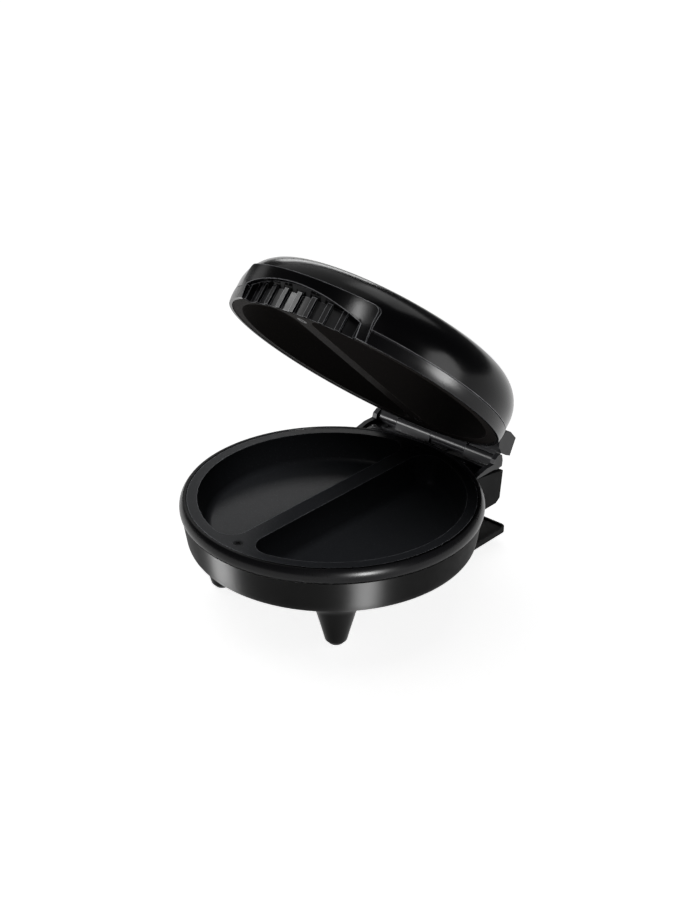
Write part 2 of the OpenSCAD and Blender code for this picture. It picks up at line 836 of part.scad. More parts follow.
module hinge_bracket() {
    color("#3a3a3d") on_base() difference() {
        union() {
            // Cheeks, thin at the ring and rising to the ears
            for (side = [0, 1])
                mirror([side, 0, 0])
                    difference() {
                        across(ear_in, hinge_half_w)
                            polygon([
                                [body_r - 18, box_top_z + seat],
                                [body_r - 18, box_top_z + 1.8],
                                [body_r - 6, hinge_z - 0.8],
                                [hinge_y - 5.6, hinge_z - 0.8],
                                [hinge_y - 4.8, hinge_z + 2.6],
                                [hinge_y - 0.4, hinge_z + ear_r],
                                [hinge_y + 3.3, hinge_z + 3.8],
                                [hinge_y + 4.4, hinge_z - 0.8],
                                [hinge_y + 3.8, hinge_z - 5.8],
                                [hinge_y - 2.4, hinge_z - 6.2],
                                [hinge_y - 6, box_top_z + seat]
                            ]);
                        cylinder(r = body_r + gap, h = 2 * body_r, $fn = 180);
                    }
            // Beam on the sloping top of the rear box
            across(-ear_in - cut, ear_in + cut)
                polygon([
                    [beam_front_y, box_top_at(beam_front_y) + seat],
                    [beam_rear_y, box_top_at(beam_rear_y) + seat],
                    [beam_rear_y, beam_top_z - 1],
                    [beam_front_y, beam_top_z]
                ]);
            // Trough that closes the slot under the barrel
            difference() {
                across(-ear_in - cut, ear_in + cut)
                    polygon([
                        [hinge_y - barrel_r * 0.82, beam_top_z - beam_t / 2],
                        [beam_rear_y, beam_top_z - beam_t / 2],
                        [hinge_y, hinge_z - barrel_r * 1.3],
                        [hinge_y, hinge_z - barrel_r / 2],
                        [hinge_y - barrel_r * 0.82, hinge_z - barrel_r / 2]
                    ]);
                translate([-hinge_half_w, hinge_y, hinge_z])
                    rotate([0, 90, 0])
                        cylinder(r = barrel_r + gap + touch, h = 2 * hinge_half_w, $fn = 48);
            }
            // Knuckles, each on its own web
            for (k = [[knuckle_a, knuckle_b], [knuckle_c, ear_in]]) {
                knuckle(k[0] + gap / 2, k[1] + (k[1] == ear_in ? cut : -gap / 2));
                across(k[0] + gap / 2, k[1] - gap / 2)
                    polygon([
                        [hinge_y - barrel_r, hinge_z],
                        [hinge_y - barrel_r - 1.6, box_top_at(beam_front_y) + 1],
                        [hinge_y - 1, box_top_at(beam_rear_y) + 1],
                        [hinge_y, hinge_z]
                    ]);
            }
        }
        pin_bore(-ear_in - ear_t / 2, ear_in + ear_t / 2);
        for (x = bracket_screw_xs) {
            translate([x, bracket_screw_y, rim_z])
                cylinder(r = small_screw_r + gap, h = ring_h, $fn = 32);
            translate([x, bracket_screw_y, bracket_seat_z])
                cylinder(r = bracket_head_r + gap, h = beam_t, $fn = 32);
        }
        translate([0, bracket_screw_y, rim_z])
            cylinder(r = lead_hole_r, h = ring_h, $fn = 32);
    }
}

module knuckle(x0, x1) {
    translate([x0, hinge_y, hinge_z])
        rotate([0, 90, 0])
            cylinder(r = barrel_r, h = x1 - x0, $fn = 48);
}

module pin_bore(x0, x1) {
    translate([x0, hinge_y, hinge_z])
        rotate([0, 90, 0])
            cylinder(r = pin_r + running, h = x1 - x0, $fn = 48);
}

module hinge_bracket_screws() {
    color("#8d8f92") on_base()
        for (x = bracket_screw_xs)
            translate([x, bracket_screw_y, bracket_seat_z + seat / 2])
                mirror([0, 0, 1])
                    screw(small_screw_r, bracket_screw_l, bracket_head_r, bracket_head_h);
}

// One steel pin through every knuckle, from ear to ear
module hinge_pin() {
    half = ear_in + ear_t / 2 - seat;
    color("#b4b6b9") on_base()
        translate([-half, hinge_y, hinge_z])
            rotate([0, 90, 0])
                cylinder(r = pin_r, h = 2 * half, $fn = 48);
}

// The housing's outer shape with the seat round it, as a solid
module housing_body(grow) {
    rotate_extrude($fn = 180)
        polygon(concat(housing_profile(-seat - grow), [[0, rim_z]]));
}

// Tapered front foot with a thin flange, both cut to the housing's curve
module foot(side) {
    tip = foot_tip_d / 2;
    neck = foot_neck_d / 2;
    neck_z = leg_h * 0.7;
    round_r = foot_tip_d * 0.18;
    side_angle = atan((neck - tip) / (neck_z - pad_h - round_r));
    flare_centre = [neck + foot_flare * cos(side_angle), neck_z - foot_flare * sin(side_angle)];
    flare_end = 115;
    top = leg_h * 1.4;
    color("#151516") on_base() difference() {
        union() {
            translate([side * foot_x, foot_y, 0])
                rotate_extrude($fn = 72)
                    polygon(concat(
                        [[0, pad_h]],
                        arc([tip - round_r, pad_h + round_r], round_r, -90, -15, 6),
                        arc(flare_centre, foot_flare, 180 - side_angle, flare_end, 8),
                        [[flare_centre[0] + foot_flare * cos(flare_end), top], [0, top]]
                    ));
            intersection() {
                translate([side * foot_x, foot_y, leg_h / 2])
                    cylinder(r = foot_flange_d / 2, h = leg_h, $fn = 72);
                housing_body(foot_flange_t);
            }
        }
        housing_body(0);
        translate([side * foot_x, foot_y, -cut]) {
            cylinder(r = foot_bore_r, h = foot_seat_z + cut, $fn = 48);
            cylinder(r = screw_r + gap, h = top, $fn = 32);
        }
    }
}

// Rubber pad with a plug in the bore above it
module pad(x, y) {
    color("#0e0e0f") on_base()
        translate([x, y, 0]) {
            cylinder(r = pad_d / 2, h = pad_h - seat, $fn = 48);
            cylinder(r = foot_bore_r - seat, h = pad_plug_h, $fn = 48);
        }
}

module front_foot_screws() {
    color("#8d8f92") on_base()
        for (side = [-1, 1])
            translate([side * foot_x, foot_y, foot_seat_z - seat / 2])
                screw(screw_r, screw_tip_z - foot_seat_z, screw_r * 2, screw_r * 1.4);
}

// The stand's outline with round corners, drawn in by inset, from one height to another
module stand_slab(inset, low, high) {
    corner = stand_corner - inset;
    for (cross = [[corner, 0], [0, corner]])
        translate([inset + cross[0] - stand_half_w, stand_front_y + inset + cross[1], low])
            cube([2 * (stand_half_w - inset - cross[0]),
                stand_depth - 2 * (inset + cross[1]), high - low]);
    for (x = [-1, 1])
        for (y = [stand_front_y + stand_corner, stand_rear_y - stand_corner])
            translate([x * (stand_half_w - stand_corner), y, low])
                cylinder(r = corner, h = high - low, $fn = 48);
}

// Rear stand: two posts for winding the cord, on a rimmed plate that props the part upright
module rear_stand() {
    color("#202022") on_base() difference() {
        union() {
            difference() {
                stand_slab(0, stand_top - stand_t, stand_top + stand_rim_h);
                stand_slab(stand_rim_w, stand_top, stand_top + stand_rim_h + cut);
            }
            for (side = [-1, 1]) {
                translate([side * post_x, post_y, stand_top - cut])
                    cylinder(r = post_d / 2, h = leg_h * 1.4 - stand_top, $fn = 64);
                translate([side * post_x, rear_pad_y, pad_h])
                    cylinder(r1 = stand_boss_r * 0.88, r2 = stand_boss_r,
                        h = stand_top - stand_t / 2 - pad_h, $fn = 48);
            }
        }
        housing_body(0);
        for (side = [-1, 1]) {
            translate([side * post_x, post_y, -cut])
                cylinder(r = foot_bore_r, h = post_seat_z + cut, $fn = 48);
            translate([side * post_x, post_y, 0])
                cylinder(r = screw_r + gap, h = leg_h * 1.4, $fn = 32);
            translate([side * post_x, rear_pad_y, -cut])
                cylinder(r = foot_bore_r, h = pad_plug_h + 2 * cut, $fn = 48);
        }
    }
}

module rear_stand_screws() {
    color("#8d8f92") on_base()
        for (side = [-1, 1])
            translate([side * post_x, post_y, post_seat_z - seat / 2])
                screw(screw_r, screw_tip_z - post_seat_z, screw_r * 2, screw_r * 1.4);
}

// Half of the dome's cross-section, drawn in by inset
function dome_profile(inset, base_z) =
    let (
        shoulder = [shoulder_x, shoulder_z],
        crown = [0, dome_top_z - crown_r]
    )
    concat(
        [[dome_r - inset, base_z]],
        arc(shoulder, shoulder_r - inset, 0, 90 - crown_angle, 14),
        [for (i = [1:8]) let (a = 90 - crown_angle * (1 - i / 8))
            crown + (crown_r - inset) * [cos(a), sin(a)]]
    );

// A flat outline, drawn as [x, z] from the front, pushed back to the middle
module from_front(depth) {
    translate([0, 0, 0])
        rotate([90, 0, 0])
            linear_extrude(depth)
                children();
}

// The arched opening of the finger recess, seen from the front
module arch_outline() {
    half = body_r * sin(grip_half_angle) * 0.985;
    sag = arch_crown - arch_spring;
    r = (half * half + sag * sag) / (2 * sag);
    half_angle = asin(half / r);
    centre = [0, seam_z + arch_crown - r];
    polygon(concat(
        [[-half, seam_z - cut - lip_h], [half, seam_z - cut - lip_h]],
        arc(centre, r, 90 - half_angle, 90 + half_angle, 14)
    ));
}

// The visor's outline from the front, with its rounded upper corners
module visor_outline() {
    top = dome_z + visor_h;
    polygon(concat(
        [[-visor_half_w, mouth_z], [visor_half_w, mouth_z]],
        arc([visor_half_w - visor_corner, top - visor_corner], visor_corner, 0, 90, 5),
        arc([visor_corner - visor_half_w, top - visor_corner], visor_corner, 90, 180, 5)
    ));
}

// Dome with the visor over the finger recess and the columns for the upper plate
module lid_shell() {
    color("#111112") on_lid() difference() {
        union() {
            difference() {
                union() {
                    rotate_extrude($fn = 180)
                        polygon(concat(dome_profile(0, dome_z),
                            reversed(dome_profile(wall, dome_z))));
                    intersection() {
                        from_front(body_r + cut)
                            visor_outline();
                        // The visor's legs run down to the lid's mouth between the ends of the lip
                        rotate_extrude($fn = 180)
                            polygon([
                                [dome_r - wall, mouth_z],
                                [lip_low_r, mouth_z],
                                [visor_r - 0.8, seam_z],
                                [visor_r, dome_z + 4],
                                [visor_r, dome_top_z],
                                [dome_r - wall, dome_top_z]
                            ]);
                    }
                }
                intersection() {
                    from_front(body_r + cut * 2)
                        arch_outline();
                    difference() {
                        cylinder(r = body_r + cut, h = dome_top_z, $fn = 180);
                        translate([0, 0, -cut])
                            cylinder(r = dome_r - wall - 2 * cut, h = dome_top_z * 2, $fn = 180);
                    }
                }
            }
            for (side = [-1, 1])
                intersection() {
                    translate([0, side * upper_screw_y, upper_face_z + plate_t + seat])
                        cylinder(r = boss_wide_r, h = dome_h, $fn = 48);
                    rotate_extrude($fn = 180)
                        polygon(concat([[0, mouth_z]], [[dome_r - wall / 2, mouth_z]],
                            dome_profile(wall / 2, dome_z)));
                }
            // Flat bosses for the screws into the hinge block
            for (side = [-1, 1])
                intersection() {
                    translate([side * block_screw_x, block_screw_seat, block_screw_z])
                        rotate([-90, 0, 0])
                            cylinder(r = block_boss_r, h = 12, $fn = 32);
                    rotate_extrude($fn = 180)
                        polygon(concat([[0, dome_z]], dome_profile(wall / 2, dome_z)));
                }
        }
        for (side = [-1, 1]) {
            translate([0, side * upper_screw_y, upper_face_z])
                cylinder(r = screw_r + running, h = plate_screw_l + cut, $fn = 32);
            translate([side * block_screw_x, 0, block_screw_z])
                rotate([-90, 0, 0])
                    cylinder(r = small_screw_r + gap, h = body_r, $fn = 32);
        }
        translate([0, 0, wire_hole_z])
            rotate([-90, 0, 0])
                cylinder(r = wire_hole_r, h = body_r, $fn = 32);
    }
}

// Lip band round the lid's mouth, open at the finger recess
module lid_lip_ring() {
    ledge_z = upper_face_z + plate_t + seat;
    lid_skirt_r = dome_r - wall - gap;
    skirt_z = dome_z + skirt_h / 2;
    color("#232325") on_lid() {
        // Ledge for the plate and skirt inside the dome
        difference() {
            rotate_extrude($fn = 180)
                polygon([
                    [ledge_r, ledge_z],
                    [lid_skirt_r, ledge_z],
                    [lid_skirt_r, skirt_z],
                    [lid_skirt_r - ring_wall, skirt_z],
                    [lid_skirt_r - ring_wall, ledge_z + ring_wall + 1],
                    [ledge_r, ledge_z + ring_wall]
                ]);
            linear_extrude(2 * body_r)
                grip_sector(grip_half_angle, gap);
        }
        // Band that shows, ending where the visor's legs come down
        difference() {
            rotate_extrude($fn = 180)
                polygon(concat(
                    [
                        [plate_hole_r, mouth_z],
                        [plate_hole_r, ledge_z + 0.5],
                        [lid_skirt_r - 1, ledge_z + 0.5],
                        [lid_skirt_r - 1, dome_z - 1],
                        [lid_skirt_r - 0.5, dome_z - touch],
                        [ring_seat_r - 0.6, dome_z - touch],
                        [ring_seat_r - 0.6, seam_z],
                        [lip_r, seam_z]
                    ],
                    arc([lip_r - lip_curve, seam_z - 2], lip_curve, 0, -lip_curve_angle, 6)
                ));
            translate([-visor_half_w - gap, -2 * body_r, 0])
                cube([2 * (visor_half_w + gap), 2 * body_r, 2 * body_r]);
        }
    }
}

// The pie slice of the finger recess, widened by side
module grip_sector(half_angle, side) {
    polygon([[0, side * 2], for (a = [-1, 1]) 2 * body_r
        * [a * sin(half_angle), -cos(half_angle)] + [a * side, 0]]);
}

// The end walls of the finger recess, clear of the visor's legs
end_wall_t = 1.6;

// Insert behind the visor: ribbed wall, sloping roof and two end walls
module finger_grip() {
    roof_r = dome_r - wall - gap;
    roof_z = dome_z + arch_crown + 1;
    end_angle = grip_half_angle;
    color("#2e2e30") on_lid() intersection() {
        union() {
            rotate_extrude($fn = 180)
                polygon([
                    [grip_back_r, mouth_z],
                    [grip_face_r, mouth_z],
                    [grip_face_r, grip_top_z],
                    [roof_r, roof_z],
                    [roof_r, roof_z + rib_wall],
                    [roof_r - 1, roof_z + rib_wall],
                    [grip_back_r, grip_top_z + rib_wall]
                ]);
            for (i = [-3:3])
                rotate([0, 0, i * rib_pitch])
                    translate([-rib_w / 2, -grip_face_r - rib_proud, mouth_z])
                        cube([rib_w, rib_proud + rib_wall, rib_wall_h + rib_proud * 0.5]);
            for (side = [-1, 1])
                intersection() {
                    rotate_extrude($fn = 180)
                        polygon([
                            [grip_back_r, mouth_z],
                            [dome_r - wall - gap, mouth_z],
                            [roof_r, roof_z],
                            [grip_face_r, grip_top_z + 0.5]
                        ]);
                    rotate([0, 0, side * end_angle])
                        translate([side > 0 ? -end_wall_t : 0, -body_r, 0])
                            cube([end_wall_t, body_r, 2 * body_r]);
                }
        }
        linear_extrude(2 * body_r)
            grip_sector(end_angle, 0);
        rotate_extrude($fn = 180)
            polygon(concat([[0, mouth_z]], dome_profile(wall + gap, mouth_z)));
    }
}

module upper_cooking_plate() {
    color("#2a2725") on_lid()
        translate([0, 0, upper_face_z])
            mirror([0, 0, 1])
                cooking_plate(plate_front_r, upper_screw_y);
}

module upper_plate_screws() {
    color("#8d8f92") on_lid()
        for (side = [-1, 1])
            translate([0, side * upper_screw_y, upper_face_z])
                mirror([0, 0, 1])
                    sunk_screw(screw_r, plate_screw_l, sunk_head_r);
}

module upper_heating_element() {
    color("#5d5f63") on_lid()
        translate([0, 0, upper_face_z + element_depth])
            heating_element();
}

module upper_reflector() {
    color("#b9bcc0") on_lid()
        translate([0, 0, upper_face_z + reflector_depth + seat])
            mirror([0, 0, 1])
                reflector();
}

module upper_reflector_screws() {
    color("#8d8f92") on_lid()
        translate([0, 0, upper_face_z])
            mirror([0, 0, 1])
                reflector_screws();
}

// Leads from the upper element through the dome into the hinge block
module upper_wiring() {
    pin_z = upper_face_z + element_depth;
    apart = lead_r * 1.25;
    color("#ece7da") on_lid()
        for (side = [-1, 1])
            wire([
                [side * element_pin_x, element_pin_y + seat, pin_z],
                [side * element_pin_x, element_pin_y + 2 * lead_d, pin_z],
                [side * (apart + running), dome_r - 3 * wall, wire_hole_z],
                [side * apart, dome_r + 2 * wall, wire_hole_z]
            ], lead_r);
}

// Rear block of the lid, cut to the dome's back, with two knuckles
block_screw_seat = sqrt(pow(dome_r - wall, 2) - pow(block_screw_x + boss_r, 2)) - touch;
block_boss_r = small_screw_r * 2.57;
block_web_y = body_r - block_h * 1.6;

module lid_hinge_block() {
    half = hinge_half_w;
    apron = barrel_r * 1.03;
    color("#262628") on_lid() difference() {
        union() {
            difference() {
                union() {
                    across(-half, half)
                        polygon([
                            [hinge_y - block_h * 0.86, block_low_z + block_h * 0.5],
                            [hinge_y - block_h * 0.55, block_low_z + block_h * 0.12],
                            [hinge_y - block_h * 0.09, block_low_z],
                            [hinge_y + block_back * 0.45, block_low_z + block_h * 0.06],
                            [block_rear_y, block_low_z + block_h * 0.17],
                            [block_crest_y, block_top_z],
                            [hinge_y - block_h * 0.25, block_top_z + block_h * 0.05],
                            [hinge_y - block_h * 0.48, block_top_z]
                        ]);
                    // Web that carries the block forward to the dome
                    across(-half + block_end_w, half - block_end_w)
                        polygon([
                            [block_web_y, block_low_z + block_h * 0.25],
                            [hinge_y - block_h * 0.6, block_low_z + block_h * 0.13],
                            [hinge_y, block_low_z + block_h * 0.13],
                            [hinge_y, block_top_z],
                            [hinge_y - block_h * 0.5, block_top_z - block_h * 0.06],
                            [block_web_y, block_top_z - block_h * 0.09]
                        ]);
                    // Apron that closes the slot above the barrel, between the ears
                    difference() {
                        across(gap - ear_in, ear_in - gap)
                            polygon([
                                [hinge_y - apron / 2, hinge_z + apron / 2],
                                [hinge_y + apron, hinge_z + apron / 4],
                                [hinge_y + apron * 1.2, block_low_z + block_h * 0.1],
                                [hinge_y - apron / 2, block_low_z + block_h * 0.1]
                            ]);
                        translate([-half, hinge_y, hinge_z])
                            rotate([0, 90, 0])
                                cylinder(r = barrel_r + gap + touch, h = 2 * half, $fn = 48);
                    }
                }
                rotate_extrude($fn = 180)
                    polygon([
                        [0, mouth_z],
                        [lip_r + gap, mouth_z],
                        [lip_r + gap, shoulder_z],
                        [0, shoulder_z]
                    ]);
                rotate_extrude($fn = 180)
                    polygon(concat([[0, mouth_z]], dome_profile(-gap, mouth_z)));
                // Channel that the leads drop through
                translate([0, body_r + 2, block_low_z - cut])
                    cylinder(r = wire_hole_r, h = wire_hole_rise + cut, $fn = 32);
                translate([0, 0, wire_hole_z])
                    rotate([-90, 0, 0])
                        cylinder(r = wire_hole_r, h = body_r + 4, $fn = 32);
            }
            for (k = [[-ear_in, knuckle_a], [knuckle_b, knuckle_c]]) {
                knuckle(k[0] + gap, k[1] - gap / 2);
                across(k[0] + gap, k[1] - gap / 2)
                    polygon([
                        [hinge_y - barrel_r * 0.94, hinge_z],
                        [hinge_y - barrel_r * 0.94, block_low_z + block_h * 0.03],
                        [hinge_y + barrel_r * 0.94, block_low_z + block_h * 0.09],
                        [hinge_y + barrel_r * 0.94, hinge_z]
                    ]);
            }
        }
        pin_bore(-half, half);
        for (side = [-1, 1])
            translate([side * block_screw_x, 0, block_screw_z])
                rotate([-90, 0, 0])
                    cylinder(r = small_screw_r + running, h = block_screw_seat + block_screw_l + cut,
                        $fn = 32);
    }
}

module lid_hinge_screws() {
    color("#8d8f92") on_lid()
        for (side = [-1, 1])
            translate([side * block_screw_x, block_screw_seat - seat / 2, block_screw_z])
                rotate([-90, 0, 0])
                    screw(small_screw_r, block_screw_l, small_screw_r * 2, small_screw_r * 1.3);
}

lower_housing();
trim_ring();
lower_cooking_plate();
lower_plate_screws();
lower_heating_element();
lower_reflector();
lower_reflector_screws();
thermostat();
thermal_fuse();
terminal_block();
lower_wiring();
cord_gland();
hinge_bracket();
hinge_bracket_screws();
hinge_pin();
foot(-1);  // front_left_foot
foot(1);  // front_right_foot
front_foot_screws();
pad(-foot_x, foot_y);  // front_left_pad
pad(foot_x, foot_y);  // front_right_pad
rear_stand();
rear_stand_screws();
pad(-post_x, rear_pad_y);  // rear_left_pad
pad(post_x, rear_pad_y);  // rear_right_pad
lid_shell();
lid_lip_ring();
finger_grip();
upper_cooking_plate();
upper_plate_screws();
upper_heating_element();
upper_reflector();
upper_reflector_screws();
upper_wiring();
lid_hinge_block();
lid_hinge_screws();
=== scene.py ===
"""An electric omelette maker with twin half-moon wells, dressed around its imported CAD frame."""

import json
import math

import bmesh
import bpy
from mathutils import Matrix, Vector


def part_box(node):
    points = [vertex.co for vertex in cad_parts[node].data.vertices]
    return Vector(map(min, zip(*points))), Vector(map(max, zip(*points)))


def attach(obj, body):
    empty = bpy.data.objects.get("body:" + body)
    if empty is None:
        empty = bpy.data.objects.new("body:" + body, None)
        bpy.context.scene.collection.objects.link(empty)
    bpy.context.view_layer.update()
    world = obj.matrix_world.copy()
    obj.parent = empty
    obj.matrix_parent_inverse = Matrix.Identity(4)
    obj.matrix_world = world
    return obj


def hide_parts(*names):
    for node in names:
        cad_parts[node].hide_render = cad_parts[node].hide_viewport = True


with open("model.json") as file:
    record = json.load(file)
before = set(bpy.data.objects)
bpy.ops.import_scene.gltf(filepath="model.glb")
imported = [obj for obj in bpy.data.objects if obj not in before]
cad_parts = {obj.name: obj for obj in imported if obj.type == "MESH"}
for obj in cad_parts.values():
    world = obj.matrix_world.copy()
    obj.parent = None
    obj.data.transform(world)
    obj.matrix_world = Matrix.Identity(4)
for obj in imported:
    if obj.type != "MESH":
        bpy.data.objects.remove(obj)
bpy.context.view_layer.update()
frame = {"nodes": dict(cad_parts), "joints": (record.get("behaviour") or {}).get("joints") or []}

MM = 0.001
NODES = frame["nodes"]
HINGE = Vector(frame["joints"][0]["pos_m"])
HINGE_BEHIND_AXIS = 119 * MM
BODY_AXIS_Y = HINGE.y - HINGE_BEHIND_AXIS
GROOVE_Z = 64 * MM
REST_OPEN = math.radians(43.5)
# Points out of the dome's top at rest
LID_AXIS = Vector((0, math.sin(REST_OPEN), math.cos(REST_OPEN)))

# The housing's underside in millimetres: flat out to DISH_R, then a rising band, then a round
UNDERSIDE = 27.0
DISH_R = 78.0
DISH_ANGLE = math.radians(24)
ROUND_CENTRE = (95.8, 45.9)
ROUND_R = 10.0

# A front foot in millimetres
FOOT_TIP_R = 8.2
FOOT_TIP_ROUND = 3.0
FOOT_SLOPE = 0.27
FOOT_BORE_R = 4.4
FOOT_SEAT_Z = 16.2
FOOT_SCREW_R = 1.7
# The round of its tip in degrees, from straight down to where the taper takes over
FOOT_TIP_START = -90
FOOT_TIP_STEP = 12.5
FOOT_TIP_STEPS = 7
# Heights over the round of the tip: of the taper's two rings, and a first guess of the flare's
FOOT_TAPER_RINGS = (4, 10)
FOOT_FLARE_GUESS = 12
# Where the rings of the flare wait until they are set
FOOT_WAITING_R = FOOT_TIP_R + 5
# Rings of the flare: how far under the housing, and how far out of the taper; the last is the screw hole
FOOT_FLARE = [
    (5.0, 0.0), (3.4, 0.2), (2.1, 0.7), (1.1, 1.4), (0.4, 2.3), (0.25, 2.6), (0.25, -4.0), (0.25, None),
]
FOOT_SIDES = 96
FOOT_SHARP = math.radians(40)

# Edges sharper than SHARP_EDGE are rounded, and faces that lie as flat as FLAT_ENOUGH are joined
SHARP_EDGE = math.radians(32)
FLAT_ENOUGH = math.radians(0.5)
SAME_POINT = 0.003 * MM
EDGE_SEGMENTS = 3

# Which faces are painted dead black, as shade: at the ring's foot, turned down in the lid, and in the
# visor's part
RING_FOOT_Z = GROOVE_Z + 0.6 * MM
TURNED_DOWN = -0.6
VISOR_BACK_Y = BODY_AXIS_Y - 70 * MM

# The photograph's camera, fitted to the ellipses of the trim ring and the housing's rim
CAMERA_RIGHT = 42.03
CAMERA_UP = 29.03
CAMERA_DISTANCE = 1.2347
CAMERA_LENS = 68.44
CAMERA_SHIFT = (0.01764, 0.0605)
CAMERA_CLIP = (0.05, 50)

# The studio: what the lights are aimed at, and how bright the room is in reflections and to the camera
LIGHTS_AIM = Vector((0, 0, 0.1))
SKY_DISTANCE = 3
ROOM_IN_REFLECTIONS = 0.06
ROOM_BEHIND = 1.0
FLOOR_HALF_WIDTH = 6
PAPER_GLOW = 0.88

# Sizes of patterns in millimetres; shrinkage, smudges, patches of the painted edge highlight, and peel are
# drawn at their real size
SHRINK_WAVE = 45
HAND_SMUDGE = 28
HIGHLIGHT_PATCH = 14
ORANGE_PEEL = 2.4
# Real flecks are about 0.3 mm, drawn at 0.9 mm so that they show
COATING_FLECK = 0.9
# The powder on rubber is under 0.1 mm, and is drawn at 0.7 mm so that it shows
RUBBER_POWDER = 0.7
# The fibres of paper are under 1 mm, and are drawn at 6 mm so that they show
PAPER_FIBRE = 6
# How deep patterns go, in metres
WAVE_HEIGHT = 1 * MM
GRAIN_HEIGHT = 0.1 * MM
BRUSH_HEIGHT = 0.05 * MM
# A corner's painted highlight starts, and is full, at these cosines of rounded normal and face
HIGHLIGHT_STARTS = 0.985
HIGHLIGHT_FULL = 0.86
# How fast a drawn or rolled grain changes along its length, where across it is 1
BRUSH_STRETCH = 0.08


# Camera, floor and light

def in_scene(name, data):
    """Makes an object from its data and puts it in the scene."""
    thing = bpy.data.objects.new(name, data)
    bpy.context.scene.collection.objects.link(thing)
    return thing


def direction(azimuth, elevation):
    """A unit vector, from degrees to the right of the object's front and degrees up."""
    azimuth = math.radians(azimuth)
    elevation = math.radians(elevation)
    return Vector((
        math.sin(azimuth) * math.cos(elevation),
        -math.cos(azimuth) * math.cos(elevation),
        math.sin(elevation),
    ))


def aim(thing, place, target):
    """Puts an object at a place and turns its -Z towards a target, with its Y up."""
    thing.location = place
    thing.rotation_euler = (target - thing.location).to_track_quat("-Z", "Y").to_euler()


def add_camera():
    """A camera where the photograph's stood."""
    data = bpy.data.cameras.new("photo_camera")
    data.lens = CAMERA_LENS
    data.shift_x, data.shift_y = CAMERA_SHIFT
    data.clip_start, data.clip_end = CAMERA_CLIP
    camera = in_scene("photo_camera", data)
    target = Vector((0, BODY_AXIS_Y, GROOVE_Z))
    aim(camera, target + direction(CAMERA_RIGHT, CAMERA_UP) * CAMERA_DISTANCE, target)
    bpy.context.scene.camera = camera


def add_softbox(name, azimuth, elevation, distance, size, power, lit):
    """A softbox aimed at the object, which lights the given pieces alone.

    Its place is in degrees and metres, its size in metres and its power in watts.
    """
    data = bpy.data.lights.new(name, "AREA")
    data.shape = "RECTANGLE"
    data.size, data.size_y = size
    data.energy = power
    light = in_scene(name, data)
    aim(light, direction(azimuth, elevation) * distance + LIGHTS_AIM, LIGHTS_AIM)
    pieces = bpy.data.collections.new(name + "_pieces")
    for piece in lit:
        pieces.objects.link(piece)
    light.light_linking.receiver_collection = pieces


def add_diffuse_sky_panel(azimuth, elevation, strength, spread):
    """One very large, far softbox, which lights the whole floor evenly."""
    data = bpy.data.lights.new("sky_panel", "SUN")
    data.energy = strength
    data.angle = math.radians(spread)
    light = in_scene("sky_panel", data)
    aim(light, direction(azimuth, elevation) * SKY_DISTANCE + LIGHTS_AIM, LIGHTS_AIM)


def add_dim_room():
    """A room that is dark in the reflections and white where the camera sees it."""
    world = bpy.data.worlds.new("studio")
    bpy.context.scene.world = world
    world.use_nodes = True
    tree = world.node_tree
    seen = add(tree, "LightPath").outputs["Is Camera Ray"]
    level = add(tree, "MapRange", Value=seen, To_Min=ROOM_IN_REFLECTIONS, To_Max=ROOM_BEHIND)
    backdrop = tree.nodes["Background"]
    backdrop.inputs["Color"].default_value = (1, 1, 1, 1)
    tree.links.new(level.outputs["Result"], backdrop.inputs["Strength"])


def add_floor():
    """A flat white floor under the feet."""
    bm = bmesh.new()
    bmesh.ops.create_grid(bm, x_segments=1, y_segments=1, size=FLOOR_HALF_WIDTH)
    mesh = bpy.data.meshes.new("studio_floor")
    bm.to_mesh(mesh)
    bm.free()
    floor = in_scene("studio_floor", mesh)
    floor.data.materials.append(FLOOR_PAPER)


# Pieces

def finished(name, bm, material, node, body):
    """Makes an object from a bmesh, which stands for a CAD node and rides on its body."""
    mesh = bpy.data.meshes.new(name)
    bm.to_mesh(mesh)
    bm.free()
    piece = in_scene(name, mesh)
    mesh.materials.append(material)
    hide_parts(node)
    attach(piece, body)
    return piece


def shade_smooth(bm, sharp):
    """Shades a bmesh smooth, but for the edges that turn by the sharp angle or more."""
    for face in bm.faces:
        face.smooth = True
    for edge in bm.edges:
        edge.smooth = edge.calc_face_angle(0) < sharp


def with_soft_edges(node, material, body, edge_mm):
    """A copy of a CAD node whose sharp edges are rounded, as a mould or a casting leaves them."""
    bm = bmesh.new()
    bm.from_mesh(NODES[node].data)
    bmesh.ops.remove_doubles(bm, verts=bm.verts, dist=SAME_POINT)
    bmesh.ops.dissolve_limit(bm, angle_limit=FLAT_ENOUGH, verts=bm.verts, edges=bm.edges)
    bmesh.ops.recalc_face_normals(bm, faces=bm.faces)
    shade_smooth(bm, SHARP_EDGE)
    piece = finished(node + "_moulded", bm, material, node, body)
    bevel = piece.modifiers.new("rounded_edges", "BEVEL")
    bevel.width = edge_mm * MM
    bevel.segments = EDGE_SEGMENTS
    bevel.limit_method = "ANGLE"
    bevel.angle_limit = SHARP_EDGE
    bevel.harden_normals = True
    bevel.miter_outer = "MITER_ARC"
    return piece


def underside_height(radius):
    """Height in mm of the housing's underside: a flat middle, a rising band, then a round."""
    if radius <= DISH_R:
        return UNDERSIDE
    across = radius - ROUND_CENTRE[0]
    if across < ROUND_R * math.sin(DISH_ANGLE):
        return UNDERSIDE + (radius - DISH_R) * math.tan(DISH_ANGLE)
    return ROUND_CENTRE[1] - math.sqrt(max(ROUND_R ** 2 - across ** 2, 0))


